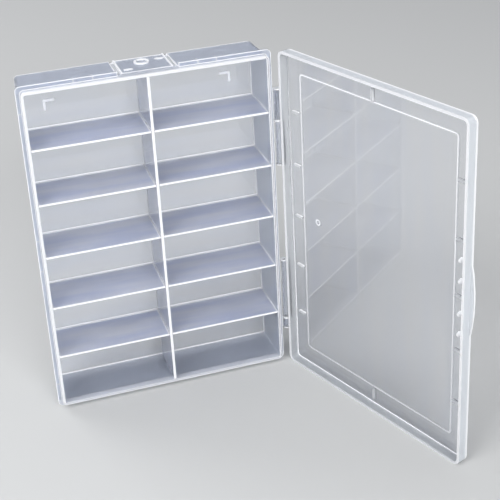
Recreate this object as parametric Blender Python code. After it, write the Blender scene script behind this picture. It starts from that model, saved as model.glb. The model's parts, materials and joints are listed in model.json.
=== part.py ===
"""A clear twelve-cell case for miniatures, standing on its edge with its lid open.

Metres, +Z up. The origin is the middle of the tray flange's bottom edge. X runs from the
free side to the hinge side, and Y from the open front to the back.
"""

import math

import bmesh
import bpy
from mathutils import Matrix, Vector

# Cells
ROWS = 6
CELL_WIDTH = 0.0870
CELL_HEIGHT = 0.0413
CELL_DEPTH = 0.0406
DIVIDER = 0.0020
SHELF = 0.0015

# Tray
WALL = 0.0020
BACK = 0.0020
TRAY_CORNER = 0.0030
CAVITY_CORNER = 0.0012
BACK_ROUNDING = 0.0022
DRAFT = 0.0008

# Flange round the tray
OVERHANG = 0.0030
FLANGE = 0.0020
RIM_RISE = 0.0054
FLANGE_CORNER = 0.0035
GUSSET = 0.0008
GUSSET_DEPTH = 0.0032

# Hinge
PIN_OUT = 0.00327
PIN_FORWARD = 0.00116
KNUCKLE_RADIUS = 0.0030
BORE_RADIUS = 0.0015
PIN_RADIUS = 0.0012
KNUCKLE_CAP = 0.0015
LID_OPENING = math.radians(110.5)

# Lid
LID_DEPTH = 0.0090
LID_WALL = 0.0020
LID_PANEL = 0.0015
LID_CORNER = 0.0050
LID_ROUNDING = 0.0010
WINDOW_SIDE = 0.0156
WINDOW_END = 0.0166
WINDOW_STEP = 0.0006
WINDOW_CORNER = 0.0025
RIB_WIDTH = 0.0018
PEG_INSET = 0.0033
PEG_BASE = 0.0024
PEG_TIP = 0.0012
PEG_HEIGHT = 0.0034
PEG_OFFSETS = (-0.0286, -0.0126, 0.0126, 0.0286)
TAB_REACH = 0.0031
TAB_HALF = 0.0280
TAB_THICK = 0.0020
TAB_STEPS = 256

# Clearance kept between neighbouring pieces, and the overlap of shapes that are joined
GAP = 0.0003
BITE = 0.0005

# Half the flat left at the tip of a rounded end
ROUND_END_FLAT = 0.0001

ROUND_STEPS = 4
CIRCLE_STEPS = 32

# Worked out from the driving dimensions
INNER_WIDTH = 2 * CELL_WIDTH + DIVIDER
INNER_HEIGHT = ROWS * CELL_HEIGHT + (ROWS - 1) * SHELF
HALF_TRAY = INNER_WIDTH / 2 + WALL
HALF_FLANGE = HALF_TRAY + OVERHANG
HEIGHT = INNER_HEIGHT + 2 * WALL + 2 * OVERHANG
MIDDLE = HEIGHT / 2
FLOOR = OVERHANG + WALL
FLANGE_FRONT = -FLANGE / 2
RIM_FRONT = FLANGE_FRONT - RIM_RISE
CAVITY_BACK = RIM_FRONT + CELL_DEPTH
TRAY_BACK = CAVITY_BACK + BACK
TRAY_TOP = HEIGHT - OVERHANG
PIN_X = HALF_FLANGE + PIN_OUT
PIN_Y = FLANGE_FRONT - PIN_FORWARD

# Heights of the knuckles, from their lowest to their highest point
TRAY_KNUCKLES = [(0.0294, 0.0387), (0.2100, 0.2350)]
LID_KNUCKLES = [(0.0390, 0.0915), (0.1736, 0.2097)]


def shelf_height(row):
    """The middle of the shelf under a row of cells, where row 1 is the top one."""
    return FLOOR + (ROWS - row) * (CELL_HEIGHT + SHELF) - SHELF / 2


def new_object(name, mesh_data, collection):
    mesh = bpy.data.meshes.new(name)
    mesh_data.to_mesh(mesh)
    mesh_data.free()
    made = bpy.data.objects.new(name, mesh)
    collection.objects.link(made)
    return made


def add_block(mesh_data, low, high, radius=0.0, along=1):
    """A box between two corners. Its four edges along one axis may be rounded."""
    low, high = Vector(low), Vector(high)
    size = high - low
    place = Matrix.Translation((low + high) / 2) @ Matrix.Diagonal((*size, 1.0))
    points = bmesh.ops.create_cube(mesh_data, size=1.0, matrix=place)["verts"]
    if radius:
        edges = {edge for point in points for edge in point.link_edges}
        long_edges = [edge for edge in edges if abs((edge.verts[0].co - edge.verts[1].co)[along]) > 1e-9]
        bmesh.ops.bevel(
            mesh_data, geom=long_edges, offset=radius, segments=ROUND_STEPS, profile=0.5, affect="EDGES"
        )


def blocks(name, corners, collection, radius=0.0, along=1):
    mesh_data = bmesh.new()
    for low, high in corners:
        add_block(mesh_data, low, high, radius, along)
    return new_object(name, mesh_data, collection)


def rods(name, radius, centres, collection, upright=True, tip=None):
    """Cylinders given by (x, y, z) of one end and their length, up +Z or back along +Y.
    With a radius at the tip they are cones."""
    mesh_data = bmesh.new()
    turn = Matrix() if upright else Matrix.Rotation(-math.pi / 2, 4, "X")
    for (x, y, z), length in centres:
        middle = Matrix.Translation((x, y, z)) @ turn @ Matrix.Translation((0, 0, length / 2))
        bmesh.ops.create_cone(
            mesh_data,
            cap_ends=True,
            segments=CIRCLE_STEPS,
            radius1=radius,
            radius2=radius if tip is None else tip,
            depth=length,
            matrix=middle,
        )
    return new_object(name, mesh_data, collection)


def combine(target, operation, tools):
    for tool in tools:
        modifier = target.modifiers.new(tool.name, "BOOLEAN")
        modifier.operation = operation
        modifier.object = tool
        modifier.solver = "EXACT"
        tool.hide_render = True
        tool.display_type = "WIRE"


def clear_plastic(name, colour, roughness):
    material = bpy.data.materials.new(name)
    material.use_nodes = True
    shader = material.node_tree.nodes["Principled BSDF"]
    shader.inputs["Base Color"].default_value = (*colour, 1.0)
    shader.inputs["Roughness"].default_value = roughness
    shader.inputs["Metallic"].default_value = 0.0
    shader.inputs["IOR"].default_value = 1.58
    shader.inputs["Transmission Weight"].default_value = 0.9
    return material


def finish(made, material):
    made.data.materials.append(material)
    made.data.shade_smooth()
    made.data.set_sharp_from_angle(angle=math.radians(30))


def tray_body(parts):
    """The tray's outside: it narrows a little towards the back, where its edges are rounded."""
    mesh_data = bmesh.new()
    low = (-HALF_TRAY, RIM_FRONT, OVERHANG)
    high = (HALF_TRAY, TRAY_BACK, TRAY_TOP)
    add_block(mesh_data, low, high, TRAY_CORNER)
    back = [point for point in mesh_data.verts if point.co.y > CAVITY_BACK]
    for point in back:
        point.co.x *= 1 - DRAFT / HALF_TRAY
        point.co.z = MIDDLE + (point.co.z - MIDDLE) * (1 - DRAFT / (MIDDLE - OVERHANG))
    outline = [edge for edge in mesh_data.edges if all(point.co.y > CAVITY_BACK for point in edge.verts)]
    bmesh.ops.bevel(mesh_data, geom=outline, offset=BACK_ROUNDING, segments=4, profile=0.5, affect="EDGES")
    return new_object("tray_shell", mesh_data, parts)


def flange_gussets(tools):
    """Small ribs in pairs behind the flange, joining it to the walls."""
    half = GUSSET / 2
    front, rear = FLANGE_FRONT + FLANGE - BITE, FLANGE_FRONT + FLANGE + GUSSET_DEPTH
    inner, outer = HALF_TRAY - 2 * BITE, HALF_FLANGE - BITE
    corners = []
    for offset in (0.0125, 0.1125, 0.1265):
        for height in (MIDDLE - offset, MIDDLE + offset):
            corners.append(((-outer, front, height - half), (-inner, rear, height + half)))
            if offset > 0.1:
                corners.append(((inner, front, height - half), (outer, rear, height + half)))
    low_end, high_end = OVERHANG + 2 * BITE, TRAY_TOP - 2 * BITE
    for offset in (-0.0520, -0.0382, 0.0382, 0.0520):
        corners.append(((offset - half, front, BITE), (offset + half, rear, low_end)))
        corners.append(((offset - half, front, high_end), (offset + half, rear, HEIGHT - BITE)))
    return blocks("flange_gussets", corners, tools)


def lean_back(shapes):
    """Slopes shapes on the top wall down towards the back, as the wall itself slopes."""
    lean = Matrix.Identity(4)
    lean[2][1] = -DRAFT / (TRAY_BACK - RIM_FRONT)
    lean[2][3] = -lean[2][1] * RIM_FRONT
    for made in shapes:
        made.data.transform(lean)


def top_pad(tools):
    """The pad between two slots in the top wall: a raised border, a ring and two oval pads. The
    flange is left out in front of it."""
    middle, half_pad, slot = 0.0018, 0.0189, 0.0030
    front, back = 0.0022, TRAY_BACK - BACK_ROUNDING
    border, lift = 0.0012, 0.0006
    ring_y = 0.0214
    left, right = middle - half_pad, middle + half_pad
    low, high = TRAY_TOP - 2 * BITE, TRAY_TOP + lift
    border_blocks = blocks(
        "pad_border",
        [
            ((left - BITE, front + BITE, low), (left + border, back, high)),
            ((right - border, front + BITE, low), (right + BITE, back, high)),
        ],
        tools,
    )
    cross_spans = ((front + BITE / 2, front + border), (back - 2 * border, back - border))
    cross_blocks = blocks(
        "pad_cross_borders",
        [
            ((left + BITE, low_y, low), (right - BITE, high_y, high - BITE / 2))
            for low_y, high_y in cross_spans
        ],
        tools,
    )
    ring = rods("pad_ring", 0.0057, [((middle, ring_y, low), 0.0022)], tools)
    ovals = blocks(
        "pad_ovals",
        [
            ((x - 0.0035, y - 0.0020, low), (x + 0.0035, y + 0.0020, TRAY_TOP + BITE / 2))
            for x, y in ((-0.0106, 0.0096), (0.0156, 0.0246))
        ],
        tools,
        radius=0.0019,
        along=2,
    )
    ring_hole = rods("pad_ring_hole", 0.0042, [((middle, ring_y, TRAY_TOP - BITE / 2), 0.0100)], tools)
    lean_back([border_blocks, cross_blocks, ring, ovals, ring_hole])
    slots = blocks(
        "pad_slots",
        [
            ((left - slot, front, TRAY_TOP - WALL - GAP), (left, TRAY_BACK + WALL, HEIGHT + WALL)),
            ((right, front, TRAY_TOP - WALL - GAP), (right + slot, TRAY_BACK + WALL, HEIGHT + WALL)),
        ],
        tools,
    )
    half_gap = half_pad + slot + BITE
    flange_gap = blocks(
        "flange_gap",
        [
            (
                (middle - half_gap, FLANGE_FRONT - GAP, TRAY_TOP - GAP),
                (middle + half_gap, FLANGE_FRONT + FLANGE + BITE, HEIGHT + WALL),
            )
        ],
        tools,
    )
    return [border_blocks, cross_blocks, ring, ovals], [ring_hole, slots, flange_gap]


def corner_marks(tools):
    """Raised L shapes on the back panel of the two top cells, with their corner up and outward."""
    corner_x, corner_z = 0.0710, TRAY_TOP - 0.0219
    along, down, width, lift = 0.0087, 0.0083, 0.0018, 0.0008
    front, rear = CAVITY_BACK - lift, CAVITY_BACK + BITE
    arms, drops = [], []
    for side in (-1, 1):
        ends = sorted((side * corner_x, side * (corner_x - along)))
        arms.append(((ends[0], front, corner_z - width), (ends[1], rear, corner_z)))
        ends = sorted((side * corner_x, side * (corner_x - width)))
        drops.append(((ends[0], front, corner_z - down), (ends[1], rear, corner_z)))
    radius = width / 2 - ROUND_END_FLAT
    return [blocks("mark_arms", arms, tools, radius), blocks("mark_drops", drops, tools, radius)]


def tray_hinge(tools):
    """Knuckles at the outer ends of the two hinges, each on a web that carries on from the flange."""
    places = [((PIN_X, PIN_Y, low), high - low) for low, high in TRAY_KNUCKLES]
    knuckles = rods("tray_knuckles", KNUCKLE_RADIUS, places, tools)
    webs = blocks(
        "tray_webs",
        [
            ((HALF_FLANGE - 2 * BITE, FLANGE_FRONT + 0.0001, low + 0.0002), (PIN_X, 0.0007, high - 0.0002))
            for low, high in TRAY_KNUCKLES
        ],
        tools,
    )
    (lower, lower_end), (upper, upper_end) = TRAY_KNUCKLES
    bores = rods(
        "tray_bores",
        BORE_RADIUS,
        [
            ((PIN_X, PIN_Y, lower + KNUCKLE_CAP), lower_end + BITE - lower - KNUCKLE_CAP),
            ((PIN_X, PIN_Y, upper - BITE), upper_end - KNUCKLE_CAP - upper + BITE),
        ],
        tools,
    )
    return [webs, knuckles], [bores]


def make_tray(parts, tools):
    tray = tray_body(parts)
    flange = blocks(
        "flange",
        [((-HALF_FLANGE, FLANGE_FRONT, 0), (HALF_FLANGE, FLANGE_FRONT + FLANGE, HEIGHT))],
        tools,
        FLANGE_CORNER,
    )
    half_inside = INNER_WIDTH / 2
    cavity = blocks(
        "cavity",
        [((-half_inside, RIM_FRONT - WALL, FLOOR), (half_inside, CAVITY_BACK, HEIGHT - FLOOR))],
        tools,
        CAVITY_CORNER,
    )
    pad_adds, pad_cuts = top_pad(tools)
    hinge_adds, hinge_cuts = tray_hinge(tools)
    combine(tray, "UNION", [flange, flange_gussets(tools), *pad_adds, *hinge_adds])
    combine(tray, "DIFFERENCE", [cavity, *pad_cuts, *hinge_cuts])
    combine(tray, "UNION", corner_marks(tools))
    finish(tray, clear_plastic("tray_plastic", (0.90, 0.93, 0.97), 0.05))


def make_divider(parts):
    low = (-DIVIDER / 2, RIM_FRONT, FLOOR + GAP)
    high = (DIVIDER / 2, CAVITY_BACK - GAP, HEIGHT - FLOOR - GAP)
    divider = blocks("centre_divider", [(low, high)], parts)
    finish(divider, clear_plastic("divider_plastic", (0.88, 0.89, 0.94), 0.12))


def make_shelves(parts):
    """Five shelves a column. Every copy shares one mesh, with its origin in the shelf's middle."""
    half = CELL_WIDTH / 2 - GAP
    depth = CELL_DEPTH - GAP
    material = clear_plastic("shelf_plastic", (0.86, 0.87, 0.93), 0.25)
    first = None
    for side, column in ((-1, "left"), (1, "right")):
        for row in range(1, ROWS):
            name = f"shelf_{column}_{row}"
            if first is None:
                first = blocks(name, [((-half, 0, -SHELF / 2), (half, depth, SHELF / 2))], parts)
                finish(first, material)
                shelf = first
            else:
                shelf = bpy.data.objects.new(name, first.data)
                parts.objects.link(shelf)
            shelf.location = (side * (DIVIDER + CELL_WIDTH) / 2, RIM_FRONT, shelf_height(row))


def lid_ribs(tools, panel_inside, shut):
    """Ribs that stand just clear of the shelves' and divider's front edges when the lid is shut."""
    tip = RIM_FRONT - GAP
    half = RIB_WIDTH / 2
    corners = []
    for row in range(1, ROWS):
        height = shelf_height(row)
        for low_x, high_x in ((-0.0870, -0.0795), (0.0781, 0.0857)):
            corners.append(
                (shut(low_x, panel_inside - BITE, height - half), shut(high_x, tip, height + half))
            )
    for low_z, high_z in ((0.0065, 0.0155), (HEIGHT - 0.0155, HEIGHT - 0.0065)):
        corners.append((shut(-half, panel_inside - BITE, low_z), shut(half, tip, high_z)))
    return blocks("lid_ribs", corners, tools, half - ROUND_END_FLAT)


def lid_pegs(tools, panel_inside, shut):
    """Pegs that stand inside the tray's free wall when the lid is shut, and keep it straight."""
    x = -INNER_WIDTH / 2 + PEG_INSET
    centres = [(shut(x, panel_inside - BITE, MIDDLE + offset), PEG_HEIGHT + BITE) for offset in PEG_OFFSETS]
    return rods("lid_pegs", PEG_BASE, centres, tools, upright=False, tip=PEG_TIP)


def thumb_tab(tools, low_y, shut):
    """A shallow arc that stands out past the free wall: one side of a large disc."""
    radius = (TAB_HALF**2 + TAB_REACH**2) / (2 * TAB_REACH)
    mesh_data = bmesh.new()
    middle = Matrix.Translation(shut(-HALF_FLANGE - TAB_REACH + radius, low_y, MIDDLE))
    place = middle @ Matrix.Rotation(math.pi / 2, 4, "X") @ Matrix.Rotation(math.pi / TAB_STEPS, 4, "Z")
    bmesh.ops.create_circle(mesh_data, cap_ends=True, radius=radius, segments=TAB_STEPS, matrix=place)
    disc = [*mesh_data.verts, *mesh_data.edges, *mesh_data.faces]
    root = shut(-HALF_FLANGE + 2 * BITE, low_y, MIDDLE)
    bmesh.ops.bisect_plane(mesh_data, geom=disc, plane_co=root, plane_no=(1, 0, 0), clear_outer=True)
    raised = bmesh.ops.extrude_face_region(mesh_data, geom=list(mesh_data.faces))["geom"]
    points = [item for item in raised if isinstance(item, bmesh.types.BMVert)]
    bmesh.ops.translate(mesh_data, vec=(0, TAB_THICK, 0), verts=points)
    bmesh.ops.recalc_face_normals(mesh_data, faces=mesh_data.faces)
    return new_object("thumb_tab", mesh_data, tools)


def lid_hinge(tools, outer_y):
    """The lid's knuckles lie between the tray's, each on a web from the lid's wall."""
    places = [((0, 0, low), high - low) for low, high in LID_KNUCKLES]
    knuckles = rods("lid_knuckles", KNUCKLE_RADIUS, places, tools)
    webs = blocks(
        "lid_webs",
        [
            ((-PIN_OUT - 2 * BITE, outer_y, low + 0.0002), (0, outer_y + 0.0018, high - 0.0002))
            for low, high in LID_KNUCKLES
        ],
        tools,
    )
    places = [((0, 0, low - BITE), high - low + 2 * BITE) for low, high in LID_KNUCKLES]
    bores = rods("lid_bores", BORE_RADIUS, places, tools)
    return [webs, knuckles], [bores]


def make_lid(parts, tools, hinge):
    """The lid is drawn shut, measured from the hinge axis, and its parent swings it open."""

    def shut(x, y, z):
        return (x - PIN_X, y - PIN_Y, z)

    rim = FLANGE_FRONT - GAP
    face = rim - LID_DEPTH
    panel_inside = face + LID_PANEL
    mesh_data = bmesh.new()
    add_block(mesh_data, shut(-HALF_FLANGE, face, 0), shut(HALF_FLANGE, rim, HEIGHT), LID_CORNER)
    front = shut(0, panel_inside, 0)[1]
    outline = [edge for edge in mesh_data.edges if all(point.co.y < front for point in edge.verts)]
    bmesh.ops.bevel(mesh_data, geom=outline, offset=LID_ROUNDING, segments=3, profile=0.5, affect="EDGES")
    lid = new_object("lid", mesh_data, parts)

    half = HALF_FLANGE - LID_WALL
    recess = blocks(
        "lid_recess",
        [(shut(-half, panel_inside, LID_WALL), shut(half, rim + WALL, HEIGHT - LID_WALL))],
        tools,
        LID_CORNER - LID_WALL,
    )
    half = HALF_FLANGE - WINDOW_SIDE
    window = blocks(
        "lid_window",
        [(shut(-half, face - WALL, WINDOW_END), shut(half, face + WINDOW_STEP, HEIGHT - WINDOW_END))],
        tools,
        WINDOW_CORNER,
    )
    tab = thumb_tab(tools, face + LID_ROUNDING, shut)
    gate_x = HALF_FLANGE - 0.0331
    gate_y = face + WINDOW_STEP / 4
    gate = rods("gate_mark", 0.0016, [(shut(gate_x, gate_y, MIDDLE), LID_PANEL / 2)], tools, upright=False)
    gate_dimple = rods(
        "gate_dimple", 0.0009, [(shut(gate_x, gate_y - WALL, MIDDLE), WALL + GAP / 2)], tools, upright=False
    )
    hinge_adds, hinge_cuts = lid_hinge(tools, -KNUCKLE_RADIUS + 0.0002)
    combine(lid, "UNION", [tab, *hinge_adds])
    combine(lid, "DIFFERENCE", [recess, window, *hinge_cuts])
    combine(lid, "UNION", [lid_ribs(tools, panel_inside, shut), lid_pegs(tools, panel_inside, shut), gate])
    combine(lid, "DIFFERENCE", [gate_dimple])
    for tool in {modifier.object for modifier in lid.modifiers}:
        tool.parent = hinge
    lid.parent = hinge
    finish(lid, clear_plastic("lid_plastic", (0.93, 0.95, 0.97), 0.04))


def make_pins(parts, hinge):
    """Each pin runs through a lid knuckle and ends in the blind bore of the tray knuckle beyond it."""
    material = clear_plastic("pin_plastic", (0.92, 0.94, 0.96), 0.10)
    spans = {
        "hinge_pin_lower": (TRAY_KNUCKLES[0][0] + KNUCKLE_CAP + GAP, LID_KNUCKLES[0][1] - BITE),
        "hinge_pin_upper": (LID_KNUCKLES[1][0] + BITE, TRAY_KNUCKLES[1][1] - KNUCKLE_CAP - GAP),
    }
    for name, (low, high) in spans.items():
        pin = rods(name, PIN_RADIUS, [((0, 0, low), high - low)], parts)
        pin.parent = hinge
        finish(pin, material)


def main():
    for old in list(bpy.data.objects):
        bpy.data.objects.remove(old)
    parts = bpy.data.collections.new("miniature_carry_case")
    tools = bpy.data.collections.new("cutters")
    for collection in (parts, tools):
        bpy.context.scene.collection.children.link(collection)
    hinge = bpy.data.objects.new("lid_hinge_axis", None)
    hinge.empty_display_size = 0.02
    hinge.location = (PIN_X, PIN_Y, 0)
    hinge.rotation_euler = (0, 0, LID_OPENING)
    parts.objects.link(hinge)
    make_tray(parts, tools)
    make_divider(parts)
    make_shelves(parts)
    make_lid(parts, tools, hinge)
    make_pins(parts, hinge)
    bpy.context.view_layer.update()


main()
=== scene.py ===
"""Looks for the clear twelve-cell miniature case: plastics, small moulded details, light and camera."""

import json
import math

import bmesh
import bpy
from mathutils import Matrix, Vector


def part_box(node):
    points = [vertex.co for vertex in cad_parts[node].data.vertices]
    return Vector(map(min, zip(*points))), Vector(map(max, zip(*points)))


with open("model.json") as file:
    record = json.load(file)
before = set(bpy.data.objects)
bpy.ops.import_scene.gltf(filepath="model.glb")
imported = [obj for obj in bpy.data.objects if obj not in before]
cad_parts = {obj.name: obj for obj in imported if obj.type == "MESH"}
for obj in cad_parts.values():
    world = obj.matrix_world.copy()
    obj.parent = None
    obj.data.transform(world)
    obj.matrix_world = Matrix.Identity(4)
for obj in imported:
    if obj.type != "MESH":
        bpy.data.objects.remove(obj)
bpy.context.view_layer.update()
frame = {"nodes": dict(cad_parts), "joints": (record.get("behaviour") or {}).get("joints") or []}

NODES = frame["nodes"]
HINGE = Vector(frame["joints"][0]["pos_m"])
LID_OPENING = math.radians(-frame["joints"][0]["range_deg"][0])


# Camera, floor and light

CAMERA_PLACE = (-0.1631, -0.8026, 0.5544)
CAMERA_TURN = math.radians(16.30)
CAMERA_DOWN = math.radians(25.98)
CAMERA_ROLL = math.radians(3.13)
CAMERA_LENS = 87.68
CAMERA_SENSOR = 36.0
CAMERA_SHIFT = -0.10

# A softbox's name, its place, the point it faces, its width and height, and its watts
SOFTBOXES = (
    ("key", (-1.3, -0.9, 1.6), (0, 0, 0.12), (1.3, 1.0), 30),
    ("back", (-1.0, 1.4, 1.5), (0, 0, 0.15), (1.2, 0.6), 14),
    ("front", (0.2, -2.2, 1.2), (0.1, 0, 0.13), (1.2, 0.8), 36),
)
HORIZON_COLOUR = (0.11, 0.11, 0.12, 1)
CEILING_COLOUR = (0.54, 0.55, 0.58, 1)
CEILING_START = 0.75
FLOOR_HALF = 6.0
FLOOR_DROP = 0.0002
FLOOR_COLOUR = (0.53, 0.535, 0.53, 1)
FLOOR_ROUGHNESS = 0.75
LIGHT_BOUNCES = 24
GLARE_CLAMP = 3.0


def make_camera():
    data = bpy.data.cameras.new("camera")
    data.lens = CAMERA_LENS
    data.sensor_width = CAMERA_SENSOR
    data.shift_y = CAMERA_SHIFT
    camera = bpy.data.objects.new("camera", data)
    turn = Matrix.Rotation(-CAMERA_TURN, 4, "Z")
    tip = Matrix.Rotation(math.pi / 2 - CAMERA_DOWN, 4, "X")
    roll = Matrix.Rotation(-CAMERA_ROLL, 4, "Z")
    camera.matrix_world = Matrix.Translation(CAMERA_PLACE) @ turn @ tip @ roll
    bpy.context.collection.objects.link(camera)
    bpy.context.scene.camera = camera


def softbox(name, place, aim, size, watts):
    data = bpy.data.lights.new(name, "AREA")
    data.shape = "RECTANGLE"
    data.size, data.size_y = size
    data.energy = watts
    light = bpy.data.objects.new(name, data)
    light.location = place
    light.rotation_euler = (Vector(aim) - Vector(place)).to_track_quat("-Z", "Y").to_euler()
    bpy.context.collection.objects.link(light)


def gradient_world():
    """A pale ceiling that falls to a darker horizon, so that clear edges have something to show."""
    world = bpy.data.worlds.new("studio")
    bpy.context.scene.world = world
    world.use_nodes = True
    nodes, links = world.node_tree.nodes, world.node_tree.links
    place = nodes.new("ShaderNodeTexCoord")
    split = nodes.new("ShaderNodeSeparateXYZ")
    ramp = nodes.new("ShaderNodeValToRGB")
    links.new(place.outputs["Generated"], split.inputs[0])
    links.new(split.outputs["Z"], ramp.inputs["Fac"])
    links.new(ramp.outputs["Color"], nodes["Background"].inputs["Color"])
    low, high = ramp.color_ramp.elements
    low.color = HORIZON_COLOUR
    high.color = CEILING_COLOUR
    high.position = CEILING_START


def make_floor():
    mesh = bmesh.new()
    bmesh.ops.create_grid(mesh, x_segments=1, y_segments=1, size=FLOOR_HALF)
    data = bpy.data.meshes.new("floor")
    mesh.to_mesh(data)
    mesh.free()
    floor = bpy.data.objects.new("floor", data)
    floor.location = (0, 0, -FLOOR_DROP)
    bpy.context.collection.objects.link(floor)
    material = bpy.data.materials.new("floor_paper")
    material.use_nodes = True
    shader = material.node_tree.nodes["Principled BSDF"]
    shader.inputs["Base Color"].default_value = FLOOR_COLOUR
    shader.inputs["Roughness"].default_value = FLOOR_ROUGHNESS
    data.materials.append(material)


def make_studio():
    gradient_world()
    make_floor()
    for box in SOFTBOXES:
        softbox(*box)
    scene = bpy.context.scene
    scene.view_settings.view_transform = "Standard"
    scene.cycles.max_bounces = LIGHT_BOUNCES
    scene.cycles.transmission_bounces = LIGHT_BOUNCES
    scene.cycles.sample_clamp_indirect = GLARE_CLAMP


# Sizes from the frame, and the shelves' spacing

TRAY_LOW, TRAY_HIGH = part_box("tray_shell")
SHELF_LOW, SHELF_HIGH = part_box("shelf_left_1")
LID_LOW, LID_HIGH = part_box("lid")
HEIGHT = LID_HIGH.z - LID_LOW.z
HALF_HEIGHT = HEIGHT / 2
MIDDLE = (LID_LOW.z + LID_HIGH.z) / 2
RIM_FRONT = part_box("centre_divider")[0].y
CELL_BACK = SHELF_HIGH.y
SHELF_THICK = SHELF_HIGH.z - SHELF_LOW.z
SHELF_HALF = (SHELF_HIGH.x - SHELF_LOW.x) / 2
SHELF_MIDDLE = -(SHELF_LOW.x + SHELF_HIGH.x) / 2
ROW_STEP = 0.0428
SHELVES_REACH = 2.8 * ROW_STEP

# The tray's own shape, as the CAD has it
WALL = 0.0020
FLANGE = 0.0020
FLANGE_OUT = 0.0030
HALF_FLANGE = -TRAY_LOW.x
FLANGE_CORNER = 0.0035
FLANGE_FRONT = -0.0010
HALF_TRAY = HALF_FLANGE - FLANGE_OUT
TRAY_TOP = HEIGHT - FLANGE_OUT
TRAY_HALF_HIGH = TRAY_TOP - MIDDLE
CELL_FLOOR = FLANGE_OUT + WALL
TRAY_CORNER = 0.0030
TRAY_BACK = TRAY_HIGH.y
BACK_ROUNDING = 0.0022
TOP_DROP = 0.0008
TOP_SLOPE = TOP_DROP / (TRAY_BACK - RIM_FRONT)
MARK_MIDDLE = CELL_BACK - 0.0003
MARKS_HALF_WIDE = HALF_TRAY - 2 * WALL
MARKS_HALF_HIGH = HALF_HEIGHT - 5 * WALL
GUSSET_END = 0.0046
GUSSETS_ALONG = (0.0382, 0.0520)
GUSSETS_UP = (0.0125, 0.1125)
PAD_MIDDLE = 0.0018
PAD_HALF = 0.0189
PAD_SLOT = 0.0030
PAD_FRONT = 0.0022
PAD_RELIEF = 0.00014
FLANGE_GAP = 0.0224
TRAY_KNUCKLE_ENDS = (0.0294, 0.0387, 0.2100, 0.2350)
LID_KNUCKLE_ENDS = (0.0390, 0.0915, 0.1736, 0.2097)

# The lid's own shape, measured from its hinge axis when it is shut: across to the free side, and out
# from the rim to the panel's outer face
LID_START = 0.00327
LID_HALF = HALF_FLANGE
LID_RIM_OUT = 0.00086
LID_DEPTH = 0.0090
LID_PANEL = 0.0015
PANEL_INSIDE = LID_DEPTH - LID_PANEL
LID_CORNER = 0.0050
LID_ROUNDING = 0.0010
LID_WALL = 0.0020
WINDOW_SIDE = 0.0156
WINDOW_END = 0.0166
WINDOW_CORNER = 0.0025
PEG_ACROSS = 0.1777
PEG_RADIUS = 0.0024
PEG_OFFSETS = (-0.0286, -0.0126, 0.0126, 0.0286)
GATE_ACROSS = 0.0313
GATE_UP = 0.0014
GATE_RADIUS = 0.0021
GATE_DOT = 0.0004
RIB_HALF = 0.0009
SIDE_RIB_MIDDLE = 0.0111
SIDE_RIB_REACH = 0.0041
END_RIB_INSET = 0.0110
END_RIB_REACH = 0.0047

# How gradually a mask starts, and half the width of the lines that it draws
SOFT = 0.0003
FIRM = 0.0002
CRISP = 0.0001
HAIRLINE = 0.0004
THIN_LINE = 0.0005
LINE = 0.0006
CAP_LINE = 0.0007
BACK_LINE = 0.0010

# How far past a face or an edge a mask reaches
SKIN = 0.0003
RIM_SKIN = 0.0005
RIM_SIDE = 0.0026
WALL_START = 0.0010
SLOT_DEPTH = 0.0010
DIVIDER_BACK = 0.0010
SHELF_BACK = 0.0018
SHELF_END = 0.0009
OUTER_LINE_DEPTH = 0.0024
PEG_ALONG = 1.1 * PEG_RADIUS
PEG_BESIDE = 1.2 * PEG_RADIUS

# How strongly some painted highlights show on one side of the case, or at the lid's lower and upper ends,
# where the light falls unevenly
SIDE_RIM_FACE = 0.35
LOW_RIM_LOSS = 0.6
CORNER_ENDS = (1.0, 0.1)
STEP_ENDS = (0.55, 1.0)
END_RIB_ENDS = (0.2, 1.0)


# Plastics

# White, the colour of the painted highlights along edges and lines
HIGHLIGHT_WHITE = (0.97, 0.98, 1.0)
BLUE_WHITE = (0.90, 0.93, 1.0)
COOL_WHITE = (0.92, 0.96, 1.0)
WALL_BLUE = (0.84, 0.89, 1.0)
LID_TINT = (0.93, 0.95, 1.0)
LID_WALL_TINT = (0.95, 0.97, 1.0)
DIVIDER_TINT = (0.80, 0.84, 0.97)
SHELF_TINT = (0.68, 0.73, 0.90)
# Tints of the rounded edges, partly a painted highlight
EDGE_HIGHLIGHT_TINTS = ((0.92, 0.94, 0.98), (1.0, 1.0, 1.0))
PLASTIC_IOR = 1.58
MASK_ROUGHNESS = 0.28
CLOUD_SCALE = 22
CLOUD_VARIATION = 0.5
SMEAR_SCALE = 90
SMEAR_RANGE = (0.35, 0.65)
ROUGH_VARIATION = 0.3
GRAIN_SCALE = 420
WAVE_HEIGHT = 0.0002
GRAIN_HEIGHT = 0.00006
LID_WAVES = 0.06
PATCH_SCALE = 160
PATCH_RANGE = (0.3, 0.7)
EDGE_TRANSMISSION = (0.04, 0.22)
EDGE_ROUGHNESS = (0.20, 0.35)


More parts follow.
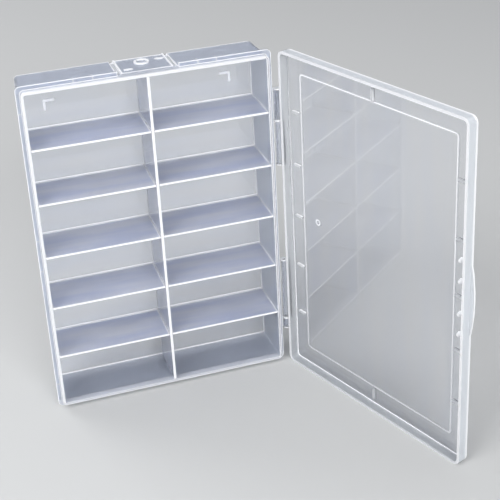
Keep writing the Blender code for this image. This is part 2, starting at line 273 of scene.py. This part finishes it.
class Nodes:
    """A material's node tree, with short calls for the nodes that the plastics share."""

    def __init__(self, name):
        self.material = bpy.data.materials.new(name)
        self.material.use_nodes = True
        self.tree = self.material.node_tree
        self.shader = self.tree.nodes["Principled BSDF"]
        self.shader.inputs["IOR"].default_value = PLASTIC_IOR
        self.place = self.tree.nodes.new("ShaderNodeTexCoord").outputs["Object"]

    def add(self, kind, **settings):
        node = self.tree.nodes.new(kind)
        for key, value in settings.items():
            setattr(node, key, value)
        return node

    def link(self, source, target):
        self.tree.links.new(source, target)

    def put(self, value, socket):
        """Sets a socket to a number or a colour, or links it to another node's output."""
        if isinstance(value, bpy.types.NodeSocket):
            self.link(value, socket)
        else:
            socket.default_value = value

    def stretched(self, scale):
        """The piece's own coordinates, multiplied along each axis."""
        mapping = self.add("ShaderNodeMapping")
        mapping.inputs["Scale"].default_value = scale
        self.link(self.place, mapping.inputs["Vector"])
        return mapping.outputs["Vector"]

    def noise(self, scale, stretch=(1, 1, 1), detail=2.0):
        node = self.add("ShaderNodeTexNoise")
        node.inputs["Scale"].default_value = scale
        node.inputs["Detail"].default_value = detail
        self.link(self.stretched(stretch), node.inputs["Vector"])
        return node.outputs["Fac"]

    def ranged(self, value, low, high, to_low, to_high):
        node = self.add("ShaderNodeMapRange")
        limits = {"From Min": low, "From Max": high, "To Min": to_low, "To Max": to_high}
        for socket, number in limits.items():
            node.inputs[socket].default_value = number
        self.link(value, node.inputs["Value"])
        return node.outputs["Result"]

    def maths(self, operation, first, second=0.0):
        """One step of arithmetic on numbers or outputs."""
        node = self.add("ShaderNodeMath", operation=operation)
        self.put(first, node.inputs[0])
        self.put(second, node.inputs[1])
        return node.outputs[0]

    def most(self, masks):
        """The largest of several masks."""
        total = masks[0]
        for mask in masks[1:]:
            total = self.maths("MAXIMUM", total, mask)
        return total

    def blended(self, factor, first, second):
        """A colour between two others."""
        node = self.add("ShaderNodeMix", data_type="RGBA")
        self.put(factor, node.inputs[0])
        for socket, colour in ((node.inputs[6], first), (node.inputs[7], second)):
            self.put((*colour, 1) if isinstance(colour, tuple) else colour, socket)
        return node.outputs[2]

    def mixed(self, factor, first, second):
        """A number between two others."""
        node = self.add("ShaderNodeMix", data_type="FLOAT")
        self.put(factor, node.inputs[0])
        self.put(first, node.inputs[2])
        self.put(second, node.inputs[3])
        return node.outputs[0]

    def split(self, vector=None):
        """X, Y and Z of the piece's own coordinates, or of another vector."""
        node = self.add("ShaderNodeSeparateXYZ")
        self.link(vector or self.place, node.inputs[0])
        return node.outputs

    def bump(self, height, strength, depth, beneath=None):
        node = self.add("ShaderNodeBump")
        node.inputs["Strength"].default_value = strength
        node.inputs["Distance"].default_value = depth
        self.link(height, node.inputs["Height"])
        if beneath is not None:
            self.link(beneath, node.inputs["Normal"])
        return node.outputs["Normal"]

    def plastic(self, tint, haze, roughness, masks=(), waves=0.0, grain=0.04, streak=(0.15, 1.0, 1.0)):
        """Clear moulded plastic. Haze is the share of light that it scatters, which drifts over the
        surface, and a mask is where more of it is scattered, mostly to paint a highlight in its colour:
        (mask, strength, colour)."""
        cloud = self.noise(CLOUD_SCALE)
        smear = self.noise(SMEAR_SCALE, stretch=streak, detail=3.0)
        fine = self.noise(GRAIN_SCALE, detail=1.0)
        scattering = self.mixed(cloud, haze * (1 - CLOUD_VARIATION), haze * (1 + CLOUD_VARIATION))
        rough = self.mixed(smear, roughness * (1 - ROUGH_VARIATION), roughness * (1 + ROUGH_VARIATION))
        pale = tuple((1 + c) / 2 for c in tint)
        colour = self.blended(self.ranged(smear, *SMEAR_RANGE, 0.0, 1.0), tint, pale)
        # Each mask paints a highlight, or more haze, in its colour
        for mask, strength, highlight_colour in masks:
            scattering = self.mixed(mask, scattering, strength)
            rough = self.mixed(mask, rough, MASK_ROUGHNESS)
            colour = self.blended(mask, colour, highlight_colour)
        self.link(colour, self.shader.inputs["Base Color"])
        self.link(self.maths("SUBTRACT", 1.0, scattering), self.shader.inputs["Transmission Weight"])
        self.link(rough, self.shader.inputs["Roughness"])
        beneath = self.bump(smear, waves, WAVE_HEIGHT) if waves else None
        self.link(self.bump(fine, grain, GRAIN_HEIGHT, beneath), self.shader.inputs["Normal"])
        return self.material


# Masks: each is 1 where its feature is, and 0 elsewhere

def above(n, value, limit, soft=SOFT):
    return n.ranged(value, limit - soft, limit + soft, 0, 1)


def below(n, value, limit, soft=SOFT):
    return n.ranged(value, limit - soft, limit + soft, 1, 0)


def distance(n, value, target):
    return n.maths("ABSOLUTE", n.maths("SUBTRACT", value, target))


def near(n, value, target, reach, soft=CRISP):
    return below(n, distance(n, value, target), reach, soft)


def opposite(n, mask):
    return n.maths("SUBTRACT", 1.0, mask)


def both(n, *masks):
    """Where all of several masks are."""
    total = masks[0]
    for mask in masks[1:]:
        total = n.maths("MULTIPLY", total, mask)
    return total


def inside_outline(n, across, up, half_across, half_up, corner):
    """How far inside a rounded rectangle's outline a point lies, up to the radius of its corners."""
    squares = [
        n.maths("POWER", n.maths("MAXIMUM", n.maths("SUBTRACT", value, half - corner), 0.0), 2.0)
        for value, half in ((across, half_across), (up, half_up))
    ]
    return n.maths("SUBTRACT", corner, n.maths("SQRT", n.maths("ADD", *squares)))


def knuckle_ends(n, z, heights):
    return n.most([near(n, z, height, CAP_LINE, FIRM) for height in heights])


def shelf_lines(n, z):
    """Thin painted highlight lines along the top of each shelf, on the faces that it meets."""
    from_middle = n.maths("SUBTRACT", z, MIDDLE)
    over_shelf = n.maths("SUBTRACT", from_middle, SHELF_THICK / 2 + HAIRLINE)
    rows = n.maths("PINGPONG", over_shelf, ROW_STEP / 2)
    return both(n, below(n, rows, HAIRLINE, CRISP), near(n, from_middle, 0.0, SHELVES_REACH, SOFT))


def rim_face(n, x, y, z, outline):
    """The rim's front, a painted highlight. At the bottom and on the hinge side its edges are painted
    brighter than what is between.
    """
    low_side = below(n, z, CELL_FLOOR)
    thin_sides = n.most([low_side, above(n, x, HALF_TRAY - WALL - CRISP)])
    inner_line = both(n, above(n, outline, WALL - LINE, CRISP), opposite(n, low_side))
    lines = n.most([below(n, outline, LINE, CRISP), inner_line])
    share = n.mixed(thin_sides, 1.0, n.ranged(lines, 0, 1, SIDE_RIM_FACE, 1.0))
    return both(n, below(n, y, RIM_FRONT + RIM_SKIN), share)


def flange_masks(n, across, up, y, outline, beside_hinge):
    """Painted highlights on the flange's outer edge, its root on the walls, the gussets behind it, and the
    gussets' roots.
    """
    flange_outline = inside_outline(n, across, up, HALF_FLANGE, HALF_HEIGHT, FLANGE_CORNER)
    on_front = near(n, y, FLANGE_FRONT, LINE)
    edge = both(n, below(n, flange_outline, HAIRLINE, CRISP), on_front)
    root = both(n, near(n, outline, 0.0, HAIRLINE), on_front)
    past_walls = n.most([above(n, across, HALF_TRAY + SKIN), above(n, up, TRAY_HALF_HIGH + SKIN)])
    behind = both(n, above(n, y, FLANGE_FRONT + FLANGE + SKIN), below(n, y, GUSSET_END))
    gussets = both(n, past_walls, behind, beside_hinge)
    stations = [near(n, across, along, THIN_LINE) for along in GUSSETS_ALONG]
    stations += [near(n, up, height, THIN_LINE) for height in GUSSETS_UP]
    gusset_roots = both(n, past_walls, n.most(stations), on_front, beside_hinge)
    return edge, root, gussets, gusset_roots


def pad_masks(n, x, y, z):
    """Painted highlights on what is raised on the top pad, the sides of the slots beside it, and the
    flange's cut ends.
    """
    top_up = n.maths("ADD", z, n.maths("MULTIPLY", n.maths("SUBTRACT", y, RIM_FRONT), TOP_SLOPE))
    from_pad = distance(n, x, PAD_MIDDLE)
    behind_front = above(n, y, PAD_FRONT - FIRM)
    on_top = above(n, top_up, TRAY_TOP + PAD_RELIEF, CRISP / 2)
    raised = both(n, below(n, from_pad, PAD_HALF + LINE), behind_front, on_top)
    from_slot = distance(n, from_pad, PAD_HALF + PAD_SLOT / 2)
    in_wall = above(n, z, TRAY_TOP - WALL - SLOT_DEPTH)
    slots = both(n, near(n, from_slot, PAD_SLOT / 2, THIN_LINE), behind_front, in_wall)
    cut_ends = both(n, near(n, from_pad, FLANGE_GAP, HAIRLINE), above(n, z, TRAY_TOP - SKIN))
    return raised, slots, cut_ends


def tray_plastic():
    """Highlights are painted as white haze on its rim, its flange, its back edge, the lines along its
    shelves, the top pad, the hinge knuckles' ends and the two L marks, and its walls are hazier."""
    n = Nodes("tray_clear")
    x, y, z = n.split()
    across, up = distance(n, x, 0.0), distance(n, z, MIDDLE)
    outline = inside_outline(n, across, up, HALF_TRAY, TRAY_HALF_HIGH, TRAY_CORNER)
    beside_hinge = below(n, x, HALF_FLANGE)
    front = rim_face(n, x, y, z, outline)
    rim_outside = both(n, below(n, outline, FIRM, CRISP), below(n, y, RIM_FRONT + RIM_SIDE), beside_hinge)
    floor_band = both(n, below(n, z, CELL_FLOOR + SKIN), below(n, y, FLANGE_FRONT + HAIRLINE))
    hinge_caps = both(n, above(n, x, HALF_FLANGE + HAIRLINE), knuckle_ends(n, z, TRAY_KNUCKLE_ENDS))
    flange_edge, flange_root, gussets, gusset_roots = flange_masks(n, across, up, y, outline, beside_hinge)
    back_edge = inside_outline(n, across, up, HALF_TRAY - LINE, TRAY_HALF_HIGH - LINE, TRAY_CORNER)
    at_rounding = near(n, y, TRAY_BACK - BACK_ROUNDING, BACK_LINE, FIRM)
    back_line = both(n, below(n, back_edge, BACK_ROUNDING), at_rounding)
    walls = both(n, above(n, y, RIM_FRONT + WALL_START), below(n, y, CELL_BACK - LINE), beside_hinge)
    in_cells = both(n, below(n, across, MARKS_HALF_WIDE), below(n, up, MARKS_HALF_HIGH))
    marks = both(n, in_cells, near(n, y, MARK_MIDDLE, THIN_LINE))
    between_walls = below(n, across, HALF_TRAY - WALL + SKIN)
    inside = both(n, between_walls, below(n, y, CELL_BACK + LINE), above(n, y, FLANGE_FRONT))
    raised, slots, cut_ends = pad_masks(n, x, y, z)
    # The white masks here paint highlights; the walls' and the floor band's are haze.
    masks = [
        (walls, 0.13, WALL_BLUE),
        (cut_ends, 0.80, HIGHLIGHT_WHITE),
        (both(n, inside, shelf_lines(n, z)), 0.85, HIGHLIGHT_WHITE),
        (marks, 0.90, HIGHLIGHT_WHITE),
        (floor_band, 0.32, BLUE_WHITE),
        (gussets, 0.80, HIGHLIGHT_WHITE),
        (gusset_roots, 0.70, HIGHLIGHT_WHITE),
        (hinge_caps, 0.75, HIGHLIGHT_WHITE),
        (back_line, 0.80, HIGHLIGHT_WHITE),
        (flange_root, 0.70, HIGHLIGHT_WHITE),
        (flange_edge, 0.90, HIGHLIGHT_WHITE),
        (slots, 0.80, HIGHLIGHT_WHITE),
        (raised, 0.80, HIGHLIGHT_WHITE),
        (rim_outside, 0.60, HIGHLIGHT_WHITE),
        (front, 0.70, HIGHLIGHT_WHITE),
    ]
    return n.plastic(BLUE_WHITE, 0.05, 0.05, masks)


def divider_plastic():
    """A hazy sheet, with highlights painted on its front edge and on its lines along the back panel and
    the shelves.
    """
    n = Nodes("divider_clear")
    _, y, z = n.split()
    front = below(n, y, RIM_FRONT + RIM_SKIN)
    back = above(n, y, CELL_BACK - DIVIDER_BACK)
    masks = [(shelf_lines(n, z), 0.6, HIGHLIGHT_WHITE), (back, 0.6, HIGHLIGHT_WHITE), (front, 0.8, HIGHLIGHT_WHITE)]
    return n.plastic(DIVIDER_TINT, 0.22, 0.14, masks)


def shelf_plastic():
    """Hazier sheets, with highlights painted on their front edge and on their lines along the back panel
    and the walls.
    """
    n = Nodes("shelf_hazy")
    x, y, _ = n.split()
    from_middle = distance(n, distance(n, x, 0.0), SHELF_MIDDLE)
    ends = above(n, from_middle, SHELF_HALF - SHELF_END)
    back = above(n, y, CELL_BACK - SHELF_BACK)
    front = below(n, y, RIM_FRONT + RIM_SKIN)
    masks = [(n.most([ends, back]), 0.90, HIGHLIGHT_WHITE), (front, 0.85, HIGHLIGHT_WHITE)]
    return n.plastic(SHELF_TINT, 0.36, 0.42, masks, grain=0.06)


def lid_place(n):
    """How far a point of the lid lies across and out, and its height over the lid's middle."""
    mapping = n.add("ShaderNodeMapping", vector_type="TEXTURE")
    mapping.inputs["Location"].default_value = (HINGE.x, HINGE.y, MIDDLE)
    mapping.inputs["Rotation"].default_value = (0, 0, LID_OPENING)
    n.link(n.place, mapping.inputs["Vector"])
    x, y, z = n.split(mapping.outputs["Vector"])
    across = n.maths("SUBTRACT", n.maths("MULTIPLY", x, -1.0), LID_START)
    return across, n.maths("SUBTRACT", LID_RIM_OUT, y), z


def up_the_lid(n, z, ends):
    """A number that changes evenly from the lid's lower end to its upper end."""
    return n.ranged(z, -HALF_HEIGHT, HALF_HEIGHT, *ends)


def lid_wall_masks(n, out, z, edge, on_lid):
    """The rim, the walls, their outside, and the lines along their outer and inner corners; the rim and
    the lines are painted highlights.
    """
    low_end = below(n, z, -HALF_HEIGHT + LID_WALL + FIRM)
    inner_half = both(n, low_end, above(n, edge, LID_WALL / 2, CRISP), LOW_RIM_LOSS)
    rim = both(n, on_lid, below(n, out, RIM_SKIN), opposite(n, inner_half))
    wall = both(n, on_lid, below(n, out, PANEL_INSIDE - HAIRLINE, FIRM))
    outside = both(n, on_lid, below(n, edge, FIRM, CRISP))
    outer_line = both(n, below(n, edge, LID_ROUNDING), above(n, out, LID_DEPTH - OUTER_LINE_DEPTH, FIRM))
    at_corner = both(n, near(n, edge, LID_WALL, LINE), near(n, out, PANEL_INSIDE, LINE))
    inner_corner = both(n, at_corner, up_the_lid(n, z, CORNER_ENDS))
    return rim, wall, outside, outer_line, inner_corner


def lid_panel_masks(n, across, offset, up, z, out, wall):
    """Painted highlights on the step round the window, the pegs, the side and end ribs, and the gate mark.
    """
    half_window = (LID_HALF - WINDOW_SIDE, HALF_HEIGHT - WINDOW_END)
    window = inside_outline(n, offset, up, *half_window, WINDOW_CORNER)
    on_panel = above(n, out, PANEL_INSIDE - FIRM, CRISP)
    step = both(n, near(n, window, 0.0, LINE, SOFT), on_panel, up_the_lid(n, z, STEP_ENDS))
    stations = n.most([near(n, z, height, PEG_ALONG) for height in PEG_OFFSETS])
    pegs = both(n, near(n, across, PEG_ACROSS, PEG_BESIDE, SOFT), stations, wall)
    rib_rows = n.maths("PINGPONG", z, ROW_STEP / 2)
    beside_window = near(n, across, SIDE_RIB_MIDDLE, SIDE_RIB_REACH, SOFT)
    side_ribs = both(n, near(n, rib_rows, RIB_HALF, HAIRLINE), wall, beside_window)
    past_window = near(n, up, HALF_HEIGHT - END_RIB_INSET, END_RIB_REACH, SOFT)
    on_end_ribs = both(n, near(n, offset, RIB_HALF, HAIRLINE), wall, past_window)
    end_ribs = both(n, on_end_ribs, up_the_lid(n, z, END_RIB_ENDS))
    squares = [
        n.maths("POWER", distance(n, value, target), 2.0)
        for value, target in ((across, GATE_ACROSS), (z, GATE_UP))
    ]
    from_gate = n.maths("SQRT", n.maths("ADD", *squares))
    gate = n.most([near(n, from_gate, GATE_RADIUS, LINE, FIRM), below(n, from_gate, GATE_DOT)])
    return step, pegs, side_ribs, end_ribs, gate


def lid_plastic():
    """Highlights are painted as white haze on its rim, its corners, the step round its window, its ribs
    and pegs, the hinge knuckles' ends and the gate mark, and its walls are hazier."""
    n = Nodes("lid_clear")
    across, out, z = lid_place(n)
    on_lid = above(n, across, 0.0, FIRM)
    offset, up = distance(n, across, LID_HALF), distance(n, z, 0.0)
    edge = inside_outline(n, offset, up, LID_HALF, HALF_HEIGHT, LID_CORNER)
    rim, wall, outside, outer_line, inner_corner = lid_wall_masks(n, out, z, edge, on_lid)
    step, pegs, side_ribs, end_ribs, gate = lid_panel_masks(n, across, offset, up, z, out, wall)
    ends = [height - HALF_HEIGHT for height in LID_KNUCKLE_ENDS]
    hinge_caps = both(n, below(n, across, -SKIN), knuckle_ends(n, z, ends))
    # The white masks here paint highlights; the wall and outside ones are haze.
    masks = [
        (hinge_caps, 0.75, HIGHLIGHT_WHITE),
        (wall, 0.14, LID_WALL_TINT),
        (outside, 0.42, COOL_WHITE),
        (side_ribs, 0.85, HIGHLIGHT_WHITE),
        (end_ribs, 0.70, HIGHLIGHT_WHITE),
        (inner_corner, 0.80, HIGHLIGHT_WHITE),
        (rim, 0.68, HIGHLIGHT_WHITE),
        (outer_line, 0.90, HIGHLIGHT_WHITE),
        (step, 0.90, HIGHLIGHT_WHITE),
        (gate, 0.95, HIGHLIGHT_WHITE),
        (pegs, 0.90, HIGHLIGHT_WHITE),
    ]
    return n.plastic(LID_TINT, 0.04, 0.04, masks, waves=LID_WAVES, streak=(1.0, 1.0, 0.12))


def pin_plastic():
    return Nodes("pin_clear").plastic(BLUE_WHITE, 0.15, 0.10, waves=LID_WAVES)


def highlight_edge():
    """The rounded edges of moulded plastic, which scatter more light than its faces do, whitened further
    as a painted highlight.
    """
    n = Nodes("edge")
    patches = n.noise(PATCH_SCALE, detail=3.0)
    n.link(n.ranged(patches, *PATCH_RANGE, *EDGE_TRANSMISSION), n.shader.inputs["Transmission Weight"])
    n.link(n.ranged(patches, *PATCH_RANGE, *EDGE_ROUGHNESS), n.shader.inputs["Roughness"])
    n.link(n.blended(patches, *EDGE_HIGHLIGHT_TINTS), n.shader.inputs["Base Color"])
    return n.material


# What each piece wears, and how wide its rounded edges are

WELD_GAP = 0.00001
EDGE_SEGMENTS = 2
EDGE_ANGLE = math.radians(35)
FLAT_WEIGHT = 100
TRAY_EDGE = 0.00035
LID_EDGE = 0.00045
SHEET_EDGE = 0.0003
PIN_EDGE = 0.0002


def dress(node, material, edge, width):
    """Gives a piece its plastic, rounds its sharp edges in the brighter one, a partly painted highlight,
    and keeps its faces flat.
    """
    piece = NODES[node]
    piece.data.materials.clear()
    piece.data.materials.append(material)
    piece.data.materials.append(edge)
    weld = piece.modifiers.new("weld", "WELD")
    weld.merge_threshold = WELD_GAP
    bevel = piece.modifiers.new("edge", "BEVEL")
    bevel.width = width
    bevel.segments = EDGE_SEGMENTS
    bevel.limit_method = "ANGLE"
    bevel.angle_limit = EDGE_ANGLE
    bevel.material = 1
    normals = piece.modifiers.new("flats", "WEIGHTED_NORMAL")
    normals.mode = "FACE_AREA"
    normals.weight = FLAT_WEIGHT
    normals.keep_sharp = False
    piece.data.shade_smooth()


def dress_all():
    edge = highlight_edge()
    shelf, pin = shelf_plastic(), pin_plastic()
    dress("tray_shell", tray_plastic(), edge, TRAY_EDGE)
    dress("centre_divider", divider_plastic(), edge, SHEET_EDGE)
    dress("lid", lid_plastic(), edge, LID_EDGE)
    for name in NODES:
        if name.startswith("shelf"):
            dress(name, shelf, edge, SHEET_EDGE)
        elif name.startswith("hinge_pin"):
            dress(name, pin, edge, PIN_EDGE)


make_camera()
make_studio()
dress_all()
